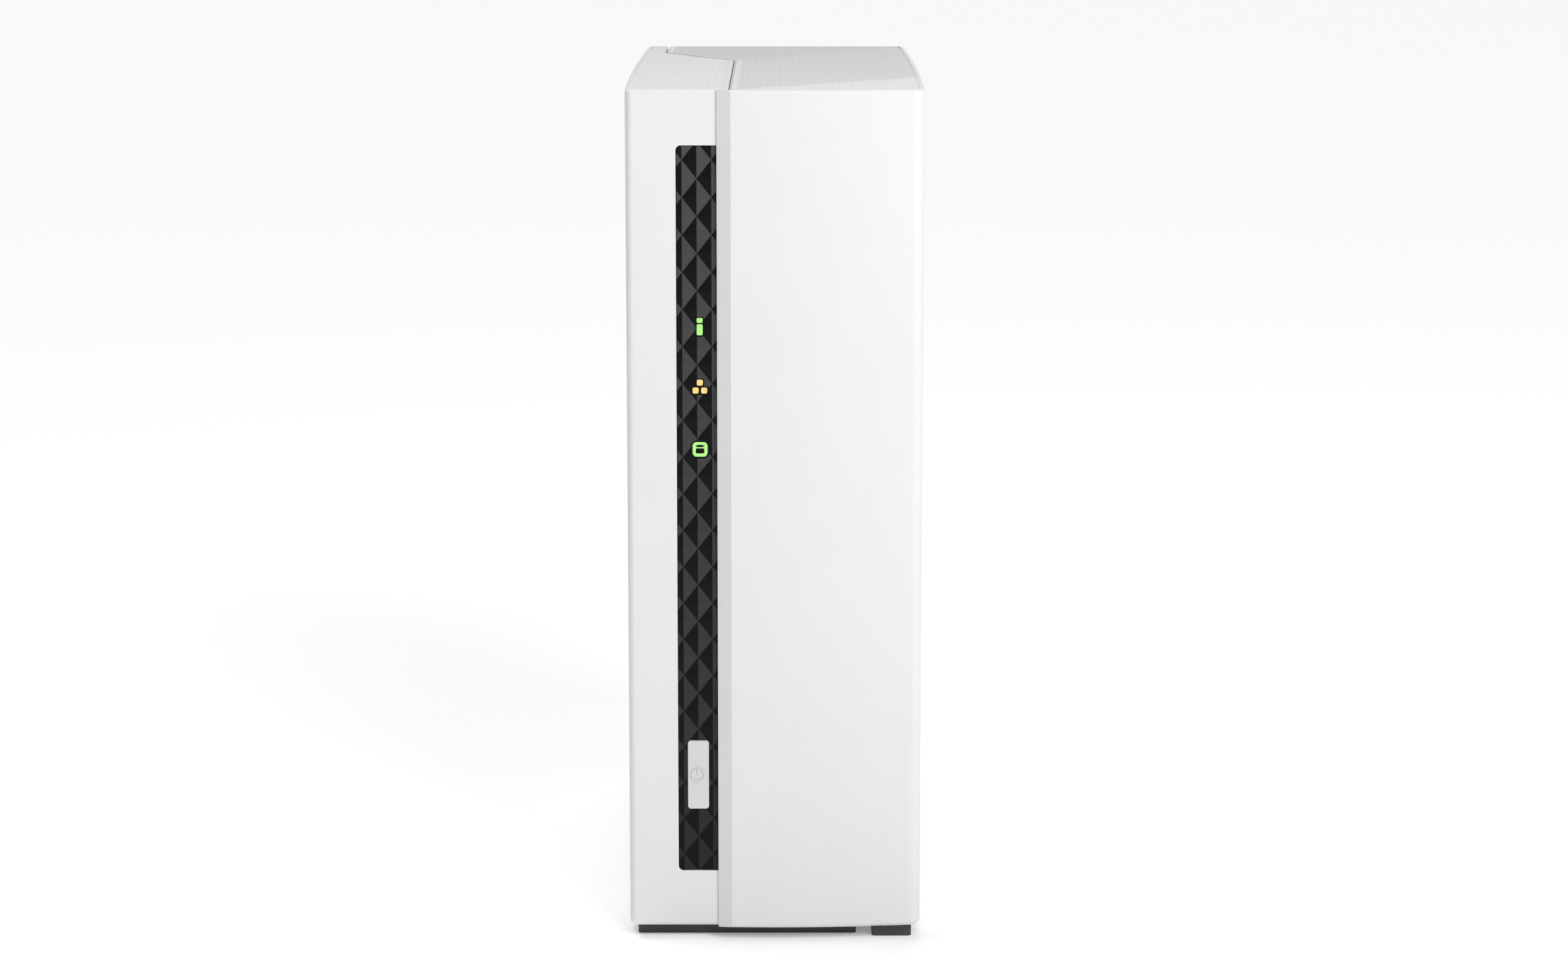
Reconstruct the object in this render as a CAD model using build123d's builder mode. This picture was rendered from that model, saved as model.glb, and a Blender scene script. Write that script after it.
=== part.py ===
from build123d import *

import os
from math import atan2, sqrt, tan

# One-bay network storage unit. Millimetres; +X right seen from the front, +Y back, +Z up.
# The origin is on the table under the middle of the case.

# Case
WIDTH = 66.0
DEPTH = 156.3
HEIGHT = 188.6
FOOT_HEIGHT = 2.7
WALL = 2.2
SIDE_BOW = 0.75  # the sides stand this much further out at mid depth than at their ends
FRONT_RADIUS = 215.0  # the cover's front plate is a shallow upright cylinder
FACE_SETBACK = 2.3  # the left front face lies this far behind the front plate's crown
FRONT_CORNER = 2.8
FACE_CORNER = 1.5  # beside the left face
BACK_CORNER = 1.8
BOTTOM_ROUND = 1.4
TOP_BREAK = 0.3
SEAM_GAP = 0.2
PANEL_RECESS = 2.4  # rear panel inside the shells' rear edges

SIDE_X = WIDTH / 2
END_X = SIDE_X - SIDE_BOW
FRONT_Y = -DEPTH / 2
BACK_Y = DEPTH / 2
FACE_Y = FRONT_Y + FACE_SETBACK
FLOOR_Z = FOOT_HEIGHT
FLOOR_TOP_Z = FLOOR_Z + WALL
ROOF_Z = HEIGHT - WALL
LEFT_WALL_X = -SIDE_X + WALL
CASE_HEIGHT = HEIGHT - FLOOR_Z
BEYOND = 20.0  # how far cutting shapes run past the case

# Seam in the top: straight, then slanted to the left, then straight to the back
SEAM_X = -10.0
SEAM_REAR_X = -27.3
SEAM_TURN_Y = FRONT_Y + 102.0
SEAM_END_Y = FRONT_Y + 131.0
SEAM_LEAN = atan2(SEAM_X - SEAM_REAR_X, SEAM_END_Y - SEAM_TURN_Y)
FLOOR_SEAM_X = 19.6
RIM = 1.0
SEAM_RIM = 1.9
SEAM_BEVEL = 0.65  # on the cover's edge along the seam's straight runs
FIELD_DEPTH = 0.35
LIP = 3.0

# Bevelled left edge of the front plate, which overlaps the left face
BEVEL_FOOT_X = -12.55
BEVEL_TOP_X = -9.5
BEVEL_LAND = 0.3

# Front strip, its light windows and the power button
STRIP_X0 = -21.3
STRIP_X1 = -11.6
STRIP_Z0 = 15.6
STRIP_Z1 = 176.6
STRIP_Y = FACE_Y + 0.45
FLANGE = 1.4
FLANGE_Y0 = FACE_Y + WALL
FLANGE_Y1 = FLANGE_Y0 + 1.2
ICON_X = -16.33
STATUS_Z = 137.3
NETWORK_Z = 124.15
DISK_Z = 110.3
ICON_GAP = 0.06
BUTTON_X = -16.95
BUTTON_Z = 37.4
BUTTON_WIDTH = 4.7
BUTTON_HEIGHT = 15.5
SIGN_RISE = 0.22
FRONT_BOARD_Y = -66.0
FRONT_BOARD_X0 = -29.0
FRONT_BOARD_X1 = -11.2
BOARD_THICK = 1.6

# Main board, upright beside the left wall
BOARD_X = -25.0
BOARD_Y0 = -52.0
BOARD_Y1 = 72.5
BOARD_Z0 = 9.0
BOARD_Z1 = 107.0
BOARD_SCREWS = [(-47.0, 14.0), (-47.0, 102.0), (40.0, 102.0), (46.0, 14.0)]
FRONT_BOARD_SCREWS = [(-26.4, 60.0), (-26.4, 120.0)]

# Rear panel
PANEL_Y1 = BACK_Y - PANEL_RECESS
PANEL_Y0 = PANEL_Y1 - WALL
PANEL_HALF = END_X - WALL - 0.25
PANEL_Z0 = FLOOR_TOP_Z + 0.2
PANEL_Z1 = ROOF_Z - 0.2
INLET_Z = 17.0
NETWORK_SOCKET_Z = 34.0
USB_FAST_Z = 53.5
USB_PLAIN_Z = 70.5
RESET_Z = 84.5
RESET_X = BOARD_X + 3.0
COVER_SCREW_X = 25.4
COVER_SCREW_Z = 98.0
PANEL_SCREWS = [(-26.8, 176.0), (8.0, 10.4)]

# Fan
FAN_X = 2.0
FAN_Z = 140.0
FAN_SIZE = 50.0
FAN_PITCH = 40.0
FAN_DEPTH = 15.0
FAN_BORE = 24.0
FAN_Y1 = PANEL_Y0 - 0.05
FAN_Y0 = FAN_Y1 - FAN_DEPTH

# Drive, standing on its connector end
DRIVE_X0 = -6.5
DRIVE_THICK = 26.1
DRIVE_WIDE = 101.6
DRIVE_LONG = 147.0
DRIVE_Y = -2.7
DRIVE_Z0 = 21.5
DRIVE_X1 = DRIVE_X0 + DRIVE_THICK
DRIVE_Y0 = DRIVE_Y - DRIVE_WIDE / 2
DRIVE_Y1 = DRIVE_Y + DRIVE_WIDE / 2
DRIVE_Z1 = DRIVE_Z0 + DRIVE_LONG
LID_THICK = 1.0
LID_X = DRIVE_X1 - LID_THICK
WELL_X = 2.0
PLATTER_RADIUS = 47.5
PLATTER_THICK = 1.27
PLATTER_Z = DRIVE_Z1 - 51.0
PLATTERS_X = [7.0, 11.0]
PIVOT_Y = DRIVE_Y + 22.0
PIVOT_Z = PLATTER_Z - 50.0
ARM_LENGTH = 50.0
ARM_ANGLE = 169.7  # parked, from +Y towards +Z
PLUG_Y = DRIVE_Y - 17.0
SIDE_HOLES_Z = [DRIVE_Z0 + 28.5, DRIVE_Z0 + 130.1]
SIDE_HOLE_X = DRIVE_X0 + 6.35

# Drive bracket
WEB_X0 = -9.0
SHEET = 1.2
WEB_X1 = WEB_X0 + SHEET
FLANGE_TOP_X = 9.0
POSTS = [(-59.4, 30.0), (-59.4, 150.0), (20.0, 176.0), (53.0, 111.5)]

# Riser board between the main board's slot and the drive
RISER_Z = 11.5
RISER_POSTS = [(8.0, -26.0), (8.0, 18.0)]

# Feet
FOOT_LENGTH = 8.0
FOOT_CORNER = 0.8
FRONT_FOOT_Y = FRONT_Y + 6.2
COVER_FOOT_Y = FRONT_Y + 4.0
REAR_FOOT_Y = BACK_Y - 15.0
FRONT_FOOT_X = (-30.6, 18.1)
REAR_FOOT_X = (-28.0, 18.1)
COVER_FOOT_X = (21.6, 30.4)

LOW = (Align.CENTER, Align.CENTER, Align.MIN)
HIGH = (Align.CENTER, Align.CENTER, Align.MAX)


def block(low, high, mode=Mode.ADD):
    """A box between two corners, in the part being built."""
    middle = tuple((a + b) / 2 for a, b in zip(low, high))
    with Locations(middle):
        Box(*[b - a for a, b in zip(low, high)], mode=mode)


def rod(start, end, radius, mode=Mode.ADD):
    """A cylinder between two points, in the part being built."""
    run = Vector(*end) - Vector(*start)
    with Locations(Plane(origin=start, z_dir=run)):
        Cylinder(radius, run.length, align=LOW, mode=mode)


def front_curve(x, inset=0.0):
    """Where the front plate's outer face is at x, or the face that lies inset behind it."""
    return FRONT_Y + FRONT_RADIUS - sqrt((FRONT_RADIUS - inset) ** 2 - x * x)


def case_outline(inset, curved):
    """The case seen from above, inset all round, with a curved or a flat front."""
    end = END_X - inset
    side = SIDE_X - inset
    back = BACK_Y - inset
    front = front_curve(end, inset) if curved else FACE_Y + inset
    with BuildSketch() as outline:
        with BuildLine():
            ThreePointArc((end, front), (side, 0), (end, back))
            Line((end, back), (-end, back))
            ThreePointArc((-end, back), (-side, 0), (-end, front))
            if curved:
                ThreePointArc((-end, front), (0, FRONT_Y + inset), (end, front))
            else:
                Line((-end, front), (end, front))
        make_face()
        front_corner = FRONT_CORNER if curved else FACE_CORNER
        fillet(outline.vertices().group_by(Axis.Y)[0], max(front_corner - inset, 0.6))
        fillet(outline.vertices().group_by(Axis.Y)[-1], max(BACK_CORNER - inset, 0.6))
    return outline.sketch


def seam_line(shift):
    """The top seam from front to back, moved to the right and kept parallel."""
    slide = shift * tan(SEAM_LEAN / 2)
    return [
        (SEAM_X + shift, FRONT_Y - BEYOND),
        (SEAM_X + shift, SEAM_TURN_Y + slide),
        (SEAM_REAR_X + shift, SEAM_END_Y + slide),
        (SEAM_REAR_X + shift, BACK_Y + BEYOND),
    ]


def field_edge(side):
    """The recessed top field's edge along the seam; side is 1 right of the seam and -1 left."""
    rim = side * (SEAM_RIM if side > 0 else RIM + SEAM_GAP / 2)
    near = side * (SEAM_GAP / 2 + 0.15)
    points = seam_line(near)
    return [
        (SEAM_X + rim, FRONT_Y - BEYOND),
        (SEAM_X + rim, points[1][1]),
        points[1],
        points[2],
        (SEAM_REAR_X + rim, points[2][1]),
        (SEAM_REAR_X + rim, BACK_Y + BEYOND),
    ]


def top_field(curved, side):
    """One shell's recessed top field as a sketch on the ground plane."""
    far = side * (SIDE_X + BEYOND)
    with BuildSketch() as field:
        add(case_outline(RIM, curved))
        with BuildLine():
            Polyline(*field_edge(side), (far, BACK_Y + BEYOND), (far, FRONT_Y - BEYOND), close=True)
        make_face(mode=Mode.INTERSECT)
    return field.sketch


def screws(seats, head_radius, head_height, shank_radius, shank_length):
    """Pan-head screws with a cross recess; each seat is a plane facing out of the head."""
    with BuildPart() as group:
        with Locations(*seats):
            Cylinder(head_radius, head_height, align=LOW)
            Cylinder(shank_radius, shank_length, align=HIGH)
        with Locations(*[seat.offset(head_height) for seat in seats]):
            Box(head_radius * 1.1, 0.5, head_height * 1.1, mode=Mode.SUBTRACT)
            Box(0.5, head_radius * 1.1, head_height * 1.1, mode=Mode.SUBTRACT)
    return group


def icon(shapes, grow):
    """Rounded rectangles (x, z, width, height, radius) facing the front, grown all round."""
    with BuildSketch(Plane.XZ) as marks:
        for x, z, width, height, radius in shapes:
            with Locations((x, z)):
                RectangleRounded(width + 2 * grow, height + 2 * grow, radius + grow)
    return marks.sketch


STATUS_ICON = [(ICON_X, STATUS_Z + 1.36, 1.23, 1.03, 0.25), (ICON_X, STATUS_Z - 0.68, 1.23, 2.35, 0.25)]
NETWORK_ICON = [
    (ICON_X, NETWORK_Z + 0.87, 1.25, 1.25, 0.28),
    (ICON_X - 0.93, NETWORK_Z - 0.87, 1.25, 1.25, 0.28),
    (ICON_X + 0.93, NETWORK_Z - 0.87, 1.25, 1.25, 0.28),
]
DISK_ICON = [(ICON_X, DISK_Z, 3.2, 3.15, 0.85)]
ICONS = [(STATUS_Z, STATUS_ICON), (NETWORK_Z, NETWORK_ICON), (DISK_Z, DISK_ICON)]

pieces = {}

# ---------------------------------------------------------------- case shells

with BuildPart() as left_shell:
    with BuildSketch(Plane.XY.offset(FLOOR_Z)):
        add(case_outline(0, curved=False))
    extrude(amount=CASE_HEIGHT)
    fillet(left_shell.faces().sort_by(Axis.Z)[0].edges(), BOTTOM_ROUND)
    chamfer(left_shell.faces().sort_by(Axis.Z)[-1].edges(), TOP_BREAK)
    # Everything right of the top seam goes, except the floor up to the floor seam.
    with BuildSketch(Plane.XY.offset(FLOOR_TOP_Z)):
        with BuildLine():
            Polyline(*seam_line(-SEAM_GAP / 2), (SIDE_X + BEYOND, BACK_Y + BEYOND),
                     (SIDE_X + BEYOND, FRONT_Y - BEYOND), close=True)
        make_face()
    extrude(amount=CASE_HEIGHT, mode=Mode.SUBTRACT)
    block((FLOOR_SEAM_X, FRONT_Y - 1, FLOOR_Z - 1), (SIDE_X + 1, BACK_Y + 1, FLOOR_TOP_Z), Mode.SUBTRACT)
    block((SEAM_X - SEAM_GAP / 2, FRONT_Y - 1, FLOOR_Z - 1), (SIDE_X, FRONT_Y + 3.6, FLOOR_TOP_Z),
          Mode.SUBTRACT)
    with BuildSketch(Plane.XY.offset(FLOOR_TOP_Z)):
        add(case_outline(WALL, curved=False))
        with Locations((0, BACK_Y - 5)):
            Rectangle(2 * (END_X - WALL), BEYOND)
    extrude(amount=CASE_HEIGHT - 2 * WALL, mode=Mode.SUBTRACT)
    with BuildSketch(Plane.XY.offset(HEIGHT - FIELD_DEPTH)):
        add(top_field(curved=False, side=-1))
    extrude(amount=1, mode=Mode.SUBTRACT)
    # Lip under the cover's edge along the seam
    lip_z0 = ROOF_Z - 1.2
    for lip_z1, reach in [(ROOF_Z - 0.15, LIP), (ROOF_Z + 0.1, -SEAM_GAP)]:
        with BuildSketch(Plane.XY.offset(lip_z0)):
            with BuildLine():
                Polyline(*seam_line(-LIP), *reversed(seam_line(reach)), close=True)
            make_face()
            with Locations((0, -1.5)):
                Rectangle(2 * END_X, 142, mode=Mode.INTERSECT)
        extrude(amount=lip_z1 - lip_z0)
    # Window for the strip
    with BuildSketch(Plane.XZ.offset(-FACE_Y + 1)):
        with Locations(((STRIP_X0 + STRIP_X1) / 2, (STRIP_Z0 + STRIP_Z1) / 2)):
            RectangleRounded(STRIP_X1 - STRIP_X0 + 0.2, STRIP_Z1 - STRIP_Z0 + 0.2, 1.1)
    extrude(amount=-(WALL + 2), mode=Mode.SUBTRACT)
    # Bosses for the main board, posts for the drive bracket, posts for the front board
    for y, z in BOARD_SCREWS:
        rod((LEFT_WALL_X - 0.4, y, z), (BOARD_X - BOARD_THICK, y, z), 3.2)
        rod((LEFT_WALL_X + 0.8, y, z), (BOARD_X - BOARD_THICK, y, z), 1.3, Mode.SUBTRACT)
    for y, z in POSTS:
        rod((LEFT_WALL_X - 0.4, y, z), (WEB_X0, y, z), 3.6)
        rod((WEB_X0 - 10, y, z), (WEB_X0, y, z), 1.3, Mode.SUBTRACT)
    for x, z in FRONT_BOARD_SCREWS:
        rod((x, FLANGE_Y0 - 0.5, z), (x, FRONT_BOARD_Y, z), 2.6)
        rod((x, FLANGE_Y0 + 0.8, z), (x, FRONT_BOARD_Y, z), 1.3, Mode.SUBTRACT)
    # Posts for the riser board on the floor
    for x, y in RISER_POSTS:
        rod((x, y, FLOOR_TOP_Z - 0.5), (x, y, RISER_Z), 3.0)
        rod((x, y, FLOOR_TOP_Z), (x, y, RISER_Z), 1.3, Mode.SUBTRACT)
    # Blocks that the rear panel is screwed to
    for x, z in PANEL_SCREWS:
        if z > FAN_Z:
            block((-SIDE_X + 1.5, PANEL_Y0 - 11, z - 4), (x + 4, PANEL_Y0, z + 4))
        else:
            block((x - 4, PANEL_Y0 - 11, FLOOR_TOP_Z - 0.5), (x + 4, PANEL_Y0, z + 3))
        rod((x, PANEL_Y0 - 9, z), (x, PANEL_Y0, z), 1.3, Mode.SUBTRACT)
pieces["left_shell"] = left_shell

with BuildPart() as right_cover:
    with BuildSketch(Plane.XY.offset(FLOOR_Z)):
        add(case_outline(0, curved=True))
    extrude(amount=CASE_HEIGHT)
    fillet(right_cover.faces().sort_by(Axis.Z)[0].edges(), BOTTOM_ROUND)
    chamfer(right_cover.faces().sort_by(Axis.Z)[-1].edges(), TOP_BREAK)
    # Right of the seam, plus the bevelled edge over the left face
    back_of_plate = FACE_Y - 0.1
    bevel_rise = back_of_plate - BEVEL_LAND - front_curve(BEVEL_TOP_X)
    bevel_run = BEVEL_TOP_X - BEVEL_FOOT_X
    with BuildSketch(Plane.XY.offset(FLOOR_Z - 1)):
        with BuildLine():
            seam = seam_line(SEAM_GAP / 2)
            Polyline(
                (seam[0][0], back_of_plate),
                (BEVEL_FOOT_X, back_of_plate),
                (BEVEL_FOOT_X, back_of_plate - BEVEL_LAND),
                (BEVEL_TOP_X + bevel_run, back_of_plate - BEVEL_LAND - 2 * bevel_rise),
                (SIDE_X + BEYOND, FRONT_Y - BEYOND),
                (SIDE_X + BEYOND, BACK_Y + BEYOND),
                *reversed(seam[1:]),
                close=True,
            )
        make_face()
    extrude(amount=CASE_HEIGHT + 2, mode=Mode.INTERSECT)
    with BuildSketch(Plane.XY.offset(FLOOR_TOP_Z)):
        add(case_outline(WALL, curved=True))
        with Locations((0, BACK_Y - 5)):
            Rectangle(2 * (END_X - WALL), BEYOND)
    extrude(amount=CASE_HEIGHT - 2 * WALL, mode=Mode.SUBTRACT)
    # The left shell's floor takes the middle.
    with BuildSketch(Plane.XY.offset(FLOOR_Z - 1)):
        add(case_outline(WALL, curved=True))
        with Locations((0, BACK_Y - 5)):
            Rectangle(2 * (END_X - WALL), BEYOND)
        with Locations((FLOOR_SEAM_X + SEAM_GAP + 50, 0)):
            Rectangle(100, 2 * DEPTH, mode=Mode.SUBTRACT)
    extrude(amount=WALL + 2, mode=Mode.SUBTRACT)
    with BuildSketch(Plane.XY.offset(HEIGHT - FIELD_DEPTH)):
        add(top_field(curved=True, side=1))
    extrude(amount=1, mode=Mode.SUBTRACT)
    # Bevel along the two straight runs of the seam
    for edge_x, run_y0, run_y1 in [
        (SEAM_X, FACE_Y, SEAM_TURN_Y),
        (SEAM_REAR_X, SEAM_END_Y, BACK_Y + 1),
    ]:
        edge = edge_x + SEAM_GAP / 2
        with BuildSketch(Plane.XZ.offset(-run_y0)):
            with BuildLine():
                Polyline((edge - 1, HEIGHT + 1), (edge - 1, HEIGHT - SEAM_BEVEL - 1),
                         (edge + SEAM_BEVEL + 1, HEIGHT + 1), close=True)
            make_face()
        extrude(amount=run_y0 - run_y1, mode=Mode.SUBTRACT)
    # Stiffening ribs inside the side wall
    for rib_z in (40, 95, 150):
        block((SIDE_X - WALL - 2.6, -60, rib_z), (SIDE_X - WALL + 0.5, 50, rib_z + 1.4))
    # Slotted tab held under the cover screw's head
    tab_y = PANEL_Y1 + 0.1
    block((COVER_SCREW_X - 4, tab_y, COVER_SCREW_Z - 6), (END_X - 1, tab_y + 1, COVER_SCREW_Z + 6))
    slot = 1.75
    block((COVER_SCREW_X - 5, tab_y - 1, COVER_SCREW_Z - slot),
          (COVER_SCREW_X, tab_y + 2, COVER_SCREW_Z + slot), Mode.SUBTRACT)
    rod((COVER_SCREW_X, tab_y - 0.05, COVER_SCREW_Z), (COVER_SCREW_X, tab_y + 2, COVER_SCREW_Z), slot,
        Mode.SUBTRACT)
pieces["right_cover"] = right_cover

# ---------------------------------------------------------------- rear panel

with BuildPart() as rear_panel:
    block((-PANEL_HALF, PANEL_Y0, PANEL_Z0), (PANEL_HALF, PANEL_Y1, PANEL_Z1))
    fillet(rear_panel.edges().filter_by(Axis.Y), 1.0)
    # Fan grille: rings and spokes across a round opening
    with BuildSketch(Plane.XZ.offset(-PANEL_Y0)):
        with Locations((FAN_X, FAN_Z)):
            Circle(23.5)
            for ring in (18.6, 13.2, 7.8):
                Circle(ring, mode=Mode.SUBTRACT)
                Circle(ring - 1.4)
            Circle(4.0, mode=Mode.SUBTRACT)
            with PolarLocations(0, 3):
                Rectangle(50, 1.6, mode=Mode.SUBTRACT)
    extrude(amount=-WALL, mode=Mode.SUBTRACT)
    # Openings for the sockets
    block((BOARD_X - 0.2, PANEL_Y0 - 1, INLET_Z - 4.7), (BOARD_X + 11.2, PANEL_Y1 + 1, INLET_Z + 4.7),
          Mode.SUBTRACT)
    block((BOARD_X - 0.2, PANEL_Y0 - 1, NETWORK_SOCKET_Z - 8.2),
          (BOARD_X + 13.7, PANEL_Y1 + 1, NETWORK_SOCKET_Z + 8.2), Mode.SUBTRACT)
    for usb_z in (USB_FAST_Z, USB_PLAIN_Z):
        block((BOARD_X - 0.1, PANEL_Y0 - 1, usb_z - 6.8), (BOARD_X + 6.1, PANEL_Y1 + 1, usb_z + 6.8),
              Mode.SUBTRACT)
    rod((RESET_X, PANEL_Y0 - 1, RESET_Z), (RESET_X, PANEL_Y1 + 1, RESET_Z), 1.0, Mode.SUBTRACT)
    # Lock slot and a row of vents beside the sockets
    with BuildSketch(Plane.XZ.offset(-PANEL_Y0 + 1)):
        with Locations((21, 30)):
            SlotOverall(7, 3, rotation=90)
        with GridLocations(4.4, 0, 7, 1):
            with Locations((6, 62)):
                SlotOverall(34, 2, rotation=90)
    extrude(amount=-(WALL + 2), mode=Mode.SUBTRACT)
    # Screw holes, and the boss that the cover screw bites into
    for x in (FAN_X - FAN_PITCH / 2, FAN_X + FAN_PITCH / 2):
        for z in (FAN_Z - FAN_PITCH / 2, FAN_Z + FAN_PITCH / 2):
            rod((x, PANEL_Y0 - 1, z), (x, PANEL_Y1 + 1, z), 2.2, Mode.SUBTRACT)
    for x, z in PANEL_SCREWS:
        rod((x, PANEL_Y0 - 1, z), (x, PANEL_Y1 + 1, z), 1.7, Mode.SUBTRACT)
    rod((COVER_SCREW_X, PANEL_Y0 - 6, COVER_SCREW_Z), (COVER_SCREW_X, PANEL_Y0 + 1, COVER_SCREW_Z), 3.2)
    rod((COVER_SCREW_X, PANEL_Y0 - 7, COVER_SCREW_Z), (COVER_SCREW_X, PANEL_Y1 + 1, COVER_SCREW_Z), 1.5,
        Mode.SUBTRACT)
pieces["rear_panel"] = rear_panel


def back_seats(points, y):
    """Seats that face the back, at x, z points."""
    return [Plane(origin=(x, y, z), x_dir=(-1, 0, 0), z_dir=(0, 1, 0)) for x, z in points]


def right_seats(points, x):
    """Seats that face right, at y, z points."""
    return [Plane(origin=(x, y, z), x_dir=(0, 1, 0), z_dir=(1, 0, 0)) for y, z in points]


pieces["panel_screws"] = screws(back_seats(PANEL_SCREWS, PANEL_Y1), 2.8, 1.6, 1.25, 9)
cover_screw_seat = back_seats([(COVER_SCREW_X, COVER_SCREW_Z)], PANEL_Y1 + 1.15)
pieces["cover_screw"] = screws(cover_screw_seat, 3.0, 1.2, 1.45, 8.5)

# ---------------------------------------------------------------- front strip, lights and button

with BuildPart() as front_strip:
    middle = ((STRIP_X0 + STRIP_X1) / 2, (STRIP_Z0 + STRIP_Z1) / 2)
    with BuildSketch(Plane.XZ.offset(-STRIP_Y)):
        with Locations(middle):
            RectangleRounded(STRIP_X1 - STRIP_X0, STRIP_Z1 - STRIP_Z0, 1.0)
    extrude(amount=STRIP_Y - FLANGE_Y0 - 0.05)
    with BuildSketch(Plane.XZ.offset(-FLANGE_Y0)):
        with Locations(middle):
            RectangleRounded(STRIP_X1 - STRIP_X0 + 2 * FLANGE, STRIP_Z1 - STRIP_Z0 + 2 * FLANGE, 1.0)
    extrude(amount=FLANGE_Y0 - FLANGE_Y1)
    with BuildSketch(Plane.XZ.offset(-STRIP_Y + 1)):
        for _, shapes in ICONS:
            add(icon(shapes, ICON_GAP))
        with Locations((BUTTON_X, BUTTON_Z)):
            RectangleRounded(BUTTON_WIDTH + 0.3, BUTTON_HEIGHT + 0.3, 0.85)
    extrude(amount=-6, mode=Mode.SUBTRACT)
pieces["front_strip"] = front_strip


def light_guide(z, shapes, pockets=None):
    """A clear guide whose tips fill the icon in the strip and whose body reaches to the LED."""
    with BuildPart() as guide:
        with BuildSketch(Plane.XZ.offset(-STRIP_Y - 0.05)):
            add(icon(shapes, 0))
        extrude(amount=STRIP_Y - FLANGE_Y1)
        block((ICON_X - 2.2, FLANGE_Y1 + 0.05, z - 2.4), (ICON_X + 2.2, FRONT_BOARD_Y - 2.1, z + 2.4))
        if pockets:
            with BuildSketch(Plane.XZ.offset(-STRIP_Y + 1)):
                add(pockets)
            extrude(amount=-1.5, mode=Mode.SUBTRACT)
    return guide


# The disk sign's dark parts are pockets in its guide: a flat oval over a rounded block.
with BuildSketch(Plane.XZ) as disk_pockets:
    with Locations((ICON_X, DISK_Z + 0.75)):
        Ellipse(0.98, 0.28)
    with Locations((ICON_X, DISK_Z - 0.32)):
        RectangleRounded(1.9, 1.15, 0.25)

pieces["status_light_guide"] = light_guide(STATUS_Z, STATUS_ICON)
pieces["network_light_guide"] = light_guide(NETWORK_Z, NETWORK_ICON)
pieces["disk_light_guide"] = light_guide(DISK_Z, DISK_ICON, disk_pockets.sketch)

BUTTON_Y = FACE_Y - 0.2
with BuildPart() as power_button:
    with BuildSketch(Plane.XZ.offset(-BUTTON_Y)):
        with Locations((BUTTON_X, BUTTON_Z)):
            RectangleRounded(BUTTON_WIDTH, BUTTON_HEIGHT, 0.7)
    extrude(amount=BUTTON_Y - FLANGE_Y1 - 0.15)
    fillet(power_button.faces().sort_by(Axis.Y)[0].edges(), 0.25)
    block((BUTTON_X - 3.2, FLANGE_Y1 + 0.15, BUTTON_Z - 8.8),
          (BUTTON_X + 3.2, FLANGE_Y1 + 1.15, BUTTON_Z + 8.8))
    block((BUTTON_X - 1, FLANGE_Y1 + 1, BUTTON_Z - 1), (BUTTON_X + 1, FRONT_BOARD_Y - 4.35, BUTTON_Z + 1))
    # Embossed power sign: an open ring and a bar
    with BuildSketch(Plane.XZ.offset(-BUTTON_Y)):
        with Locations((BUTTON_X, BUTTON_Z)):
            Circle(1.65)
            Circle(1.2, mode=Mode.SUBTRACT)
            with Locations((0, 1.5)):
                Rectangle(1.4, 1.2, mode=Mode.SUBTRACT)
            with Locations((0, 1.0)):
                Rectangle(0.45, 1.6)
    extrude(amount=SIGN_RISE)
pieces["power_button"] = power_button

switch_y = FRONT_BOARD_Y - 3.5
with BuildPart() as power_switch:
    block((BUTTON_X - 3, switch_y, BUTTON_Z - 3), (BUTTON_X + 3, FRONT_BOARD_Y, BUTTON_Z + 3))
    rod((BUTTON_X, switch_y - 1, BUTTON_Z), (BUTTON_X, switch_y + 1.8, BUTTON_Z), 1.8, Mode.SUBTRACT)
pieces["power_switch"] = power_switch

with BuildPart() as power_switch_plunger:
    rod((BUTTON_X, switch_y - 0.8, BUTTON_Z), (BUTTON_X, switch_y + 0.9, BUTTON_Z), 1.7)
pieces["power_switch_plunger"] = power_switch_plunger

with BuildPart() as front_board:
    block((FRONT_BOARD_X0, FRONT_BOARD_Y, 26), (FRONT_BOARD_X1, FRONT_BOARD_Y + BOARD_THICK, 146))
    fillet(front_board.edges().filter_by(Axis.Y), 1.0)
    for x, z in FRONT_BOARD_SCREWS:
        rod((x, FRONT_BOARD_Y - 1, z), (x, FRONT_BOARD_Y + 3, z), 1.6, Mode.SUBTRACT)
pieces["front_board"] = front_board

with BuildPart() as front_leds:
    for z, _ in ICONS:
        block((ICON_X - 1.4, FRONT_BOARD_Y - 1.9, z - 1.75), (ICON_X + 1.4, FRONT_BOARD_Y, z + 1.75))
pieces["front_leds"] = front_leds

# ---------------------------------------------------------------- main board

with BuildPart() as main_board:
    block((BOARD_X - BOARD_THICK, BOARD_Y0, BOARD_Z0), (BOARD_X, BOARD_Y1, BOARD_Z1))
    fillet(main_board.edges().filter_by(Axis.X), 1.5)
    for y, z in BOARD_SCREWS:
        rod((BOARD_X - 3, y, z), (BOARD_X + 1, y, z), 1.7, Mode.SUBTRACT)
pieces["main_board"] = main_board


def on_board(y, z, wide, tall, height):
    """A block standing on the main board, in the part being built."""
    block((BOARD_X, y - wide / 2, z - tall / 2), (BOARD_X + height, y + wide / 2, z + tall / 2))


with BuildPart() as processor:
    on_board(10, 66, 17, 17, 1.4)
pieces["processor"] = processor

with BuildPart() as heat_sink:
    block((BOARD_X + 1.4, -7, 49), (BOARD_X + 3.4, 27, 83))
    for fin in range(9):
        fin_z = 49 + fin * 33 / 8
        block((BOARD_X + 3.3, -7, fin_z), (BOARD_X + 11, 27, fin_z + 1))
pieces["heat_sink"] = heat_sink

with BuildPart() as memory_chips:
    on_board(-17, 56, 9, 13, 1.1)
    on_board(-17, 74, 9, 13, 1.1)
pieces["memory_chips"] = memory_chips

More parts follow.
